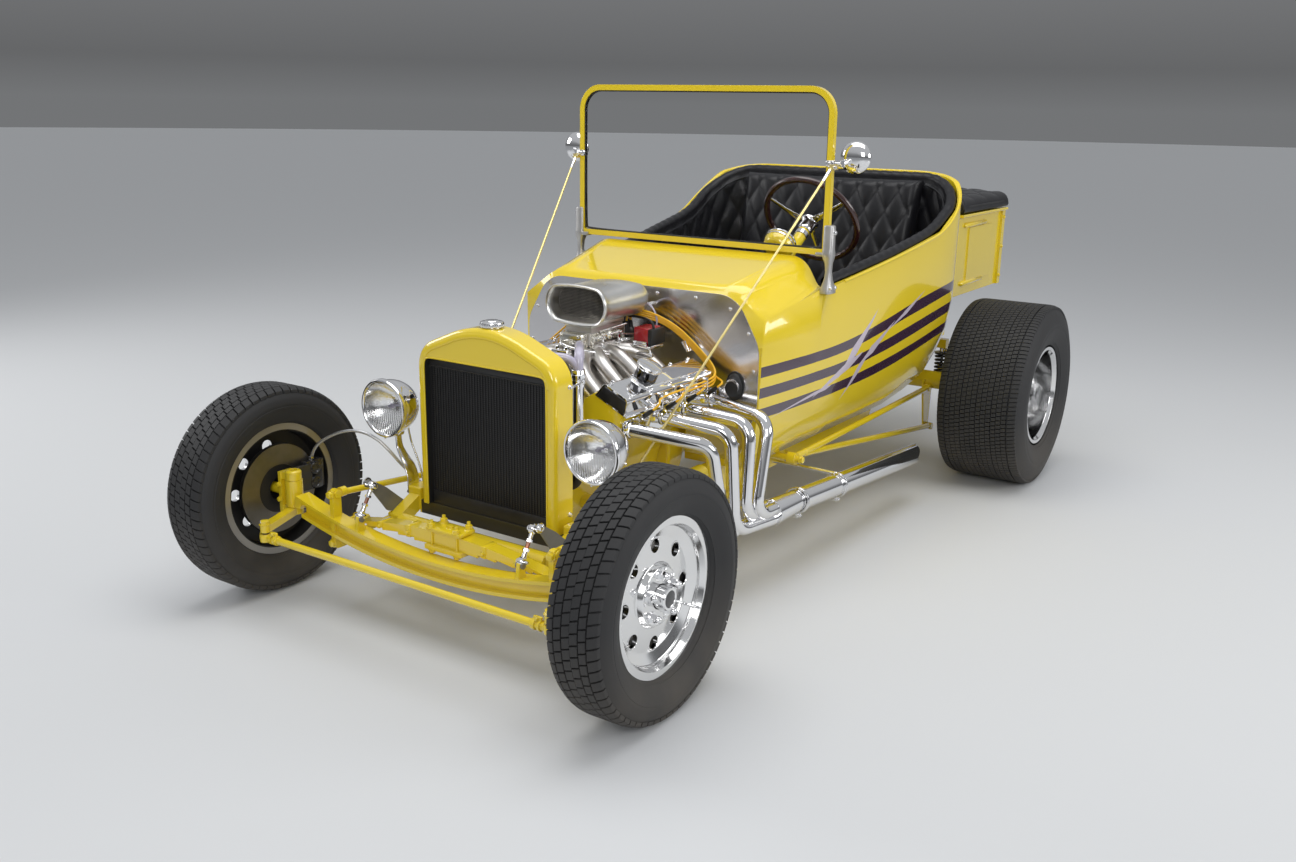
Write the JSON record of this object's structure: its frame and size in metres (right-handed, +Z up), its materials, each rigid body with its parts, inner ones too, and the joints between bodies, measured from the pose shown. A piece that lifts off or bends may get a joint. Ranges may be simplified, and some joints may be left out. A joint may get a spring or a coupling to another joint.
{
  "type": "hot rod roadster pickup",
  "caption": "Open-wheel roadster pickup with tub body, short bed, exposed V engine with air scoop, side pipes and wide rear tyres; steers, rolls, and its bed lid lifts.",
  "frame": {"origin": "on the floor, midway across and midway along the car", "axes": "front faces -Y, the car's left side is +X, +Z up"},
  "size_m": [1.92, 3.433, 1.564],
  "materials": {
    "paint": "yellow gloss",
    "polished_plate": "polished",
    "black_spring": "black",
    "cast_steel": "cast",
    "chrome": "mirror",
    "cast_aluminium": "cast",
    "brushed_aluminium": "brushed",
    "black_plastic": "satin",
    "core_black": "satin",
    "lens": "clear",
    "polished_aluminium": "polished",
    "trim": "tufted",
    "red_lens": "gloss",
    "glass": "clear",
    "brass_rod": "polished",
    "wheel_rim": "gloss",
    "braid": "braided",
    "tyre": "rubber",
    "polished_wheel": "polished"
  },
  "bodies": {
    "root": {"air_scoop": "brushed_aluminium", "body_tub": "paint", "brake_hoses": "braid", "cockpit_liner": "trim", "dash_panel": "paint", "engine_block": "paint", "firewall": "polished_aluminium", "frame": "paint", "friction_dampers": "polished_plate", "front_axle": "paint", "front_spring": "paint", "headlamp_lenses": "lens", "headlamps": "chrome", "ignition": "black_plastic", "intake": "cast_aluminium", "mirrors": "chrome", "pickup_bed": "paint", "radiator_core": "core_black", "radiator_fittings": "chrome", "radiator_shell": "paint", "radius_rods": "paint", "rear_axle": "paint", "rear_coil_overs": "black_spring", "seat": "trim", "side_pipes": "chrome", "steering_box": "cast_steel", "steering_column": "paint", "tail_lamps": "red_lens", "valve_covers": "chrome", "windshield_braces": "brass_rod", "windshield_frame": "paint", "windshield_glass": "glass", "windshield_posts": "polished_aluminium"},
    "knuckle_left": {"knuckle_left": "paint"},
    "knuckle_right": {"knuckle_right": "paint"},
    "front_wheel_left": {"front_wheel_left": "polished_wheel", "front_tyre_left": "tyre"},
    "front_wheel_right": {"front_wheel_right": "polished_wheel", "front_tyre_right": "tyre"},
    "rear_wheel_left": {"rear_wheel_left": "polished_wheel", "rear_tyre_left": "tyre"},
    "rear_wheel_right": {"rear_wheel_right": "polished_wheel", "rear_tyre_right": "tyre"},
    "tie_rod": {"tie_rod": "paint"},
    "drag_link": {"drag_link": "paint"},
    "drop_arm": {"drop_arm": "cast_steel"},
    "steering_wheel": {"steering_wheel": "wheel_rim"},
    "bed_lid": {"bed_lid": "trim"}
  },
  "joints": [
    {"name": "steer_left", "type": "hinge", "parent": "root", "child": "knuckle_left", "pos_m": [0.605, -1.3915, 0.325], "axis": [0, 0, 1], "range_deg": [-25, 25], "deforming": ["brake_hoses"]},
    {"name": "steer_right", "type": "hinge", "parent": "root", "child": "knuckle_right", "pos_m": [-0.605, -1.3915, 0.325], "axis": [0, 0, 1], "range_deg": [-26, 26]},
    {"name": "tie_rod_turn", "type": "hinge", "parent": "knuckle_left", "child": "tie_rod", "pos_m": [0.539, -1.5595, 0.25], "axis": [0, 0, 1], "range_deg": [-30, 30]},
    {"name": "drag_link_turn", "type": "hinge", "parent": "knuckle_left", "child": "drag_link", "pos_m": [0.523, -1.2715, 0.351], "axis": [0, 0, 1], "range_deg": [-30, 30]},
    {"name": "drop_arm_swing", "type": "hinge", "parent": "root", "child": "drop_arm", "pos_m": [0.412, -0.6315, 0.311], "axis": [1, 0, 0], "range_deg": [-50, 50]},
    {"name": "steering_wheel_turn", "type": "hinge", "parent": "root", "child": "steering_wheel", "pos_m": [0.27, 0.3085, 1.098], "axis": [0, 0.8339, 0.5519], "range_deg": [-420, 420]},
    {"name": "front_left_spin", "type": "hinge", "parent": "knuckle_left", "child": "front_wheel_left", "pos_m": [0.718, -1.3915, 0.325], "axis": [1, 0, 0], "continuous": true},
    {"name": "front_right_spin", "type": "hinge", "parent": "knuckle_right", "child": "front_wheel_right", "pos_m": [-0.718, -1.3915, 0.325], "axis": [1, 0, 0], "continuous": true},
    {"name": "rear_left_spin", "type": "hinge", "parent": "root", "child": "rear_wheel_left", "pos_m": [0.783, 1.1645, 0.37], "axis": [1, 0, 0], "continuous": true},
    {"name": "rear_right_spin", "type": "hinge", "parent": "root", "child": "rear_wheel_right", "pos_m": [-0.783, 1.1645, 0.37], "axis": [1, 0, 0], "continuous": true},
    {"name": "bed_lid_hinge", "type": "hinge", "parent": "root", "child": "bed_lid", "pos_m": [0, 1.1315, 1.134], "axis": [1, 0, 0], "range_deg": [0, 65]}
  ],
  "couplings": [
    {"joint": "steer_right", "follows": "steer_left", "ratio": 1},
    {"joint": "tie_rod_turn", "follows": "steer_left", "ratio": -1.1224},
    {"joint": "drag_link_turn", "follows": "steer_left", "ratio": -1.18},
    {"joint": "drop_arm_swing", "follows": "steer_left", "ratio": -0.63},
    {"joint": "steering_wheel_turn", "follows": "steer_left", "ratio": 16}
  ]
}
